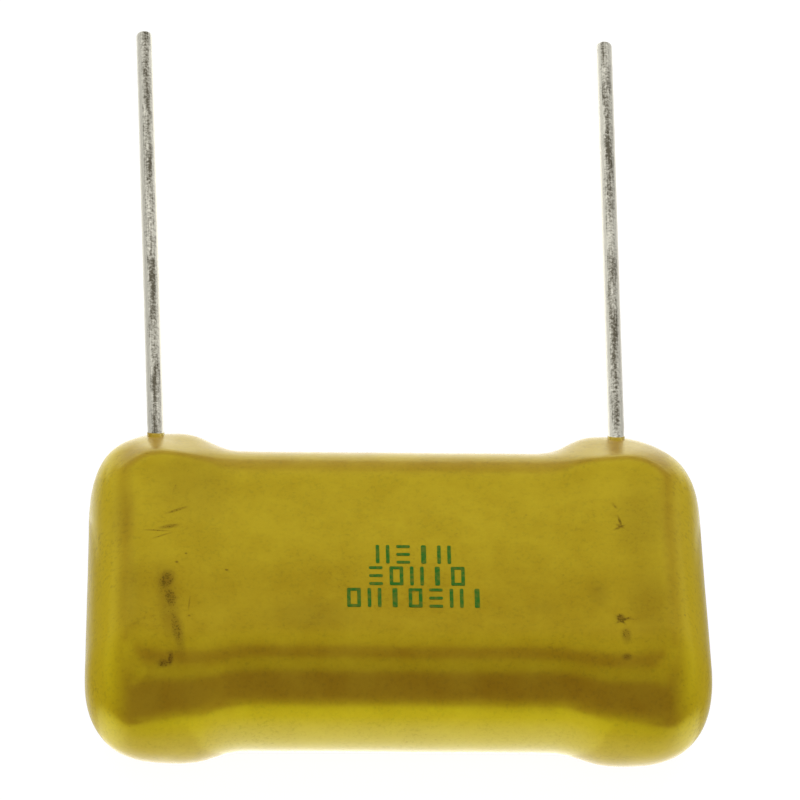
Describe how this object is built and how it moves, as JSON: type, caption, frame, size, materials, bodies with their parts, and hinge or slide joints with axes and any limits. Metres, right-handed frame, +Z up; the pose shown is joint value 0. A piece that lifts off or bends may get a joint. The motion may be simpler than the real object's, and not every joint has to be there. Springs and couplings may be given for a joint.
{
  "type": "dipped mica capacitor",
  "caption": "Resin-dipped silvered mica capacitor with radial tinned wire leads, a rounded slab body that swells over its end clamps, for soldering into a circuit board.",
  "frame": {"origin": "in the resting broad face, midway between the two leads and across the middle of the mica stack", "axes": "+X along the body from the left lead to the right lead, +Y towards the lead tips, +Z up out of the resting face"},
  "size_m": [0.0364, 0.0536, 0.0094],
  "materials": {
    "coat": "mustard-yellow dipped resin, satin gloss",
    "mica": "pressed silvered mica plates",
    "foil": "soft metal foil, folded",
    "clamp": "plain brass sheet",
    "solder": "dull solder",
    "lead": "dull, pitted tin on wire"
  },
  "bodies": {
    "root": {"resin_coat": "coat", "mica_stack": "mica", "foil_left": "foil", "foil_right": "foil", "clamp_left": "clamp", "clamp_right": "clamp", "solder_left": "solder", "solder_right": "solder", "lead_left": "lead", "lead_right": "lead"}
  },
  "joints": []
}
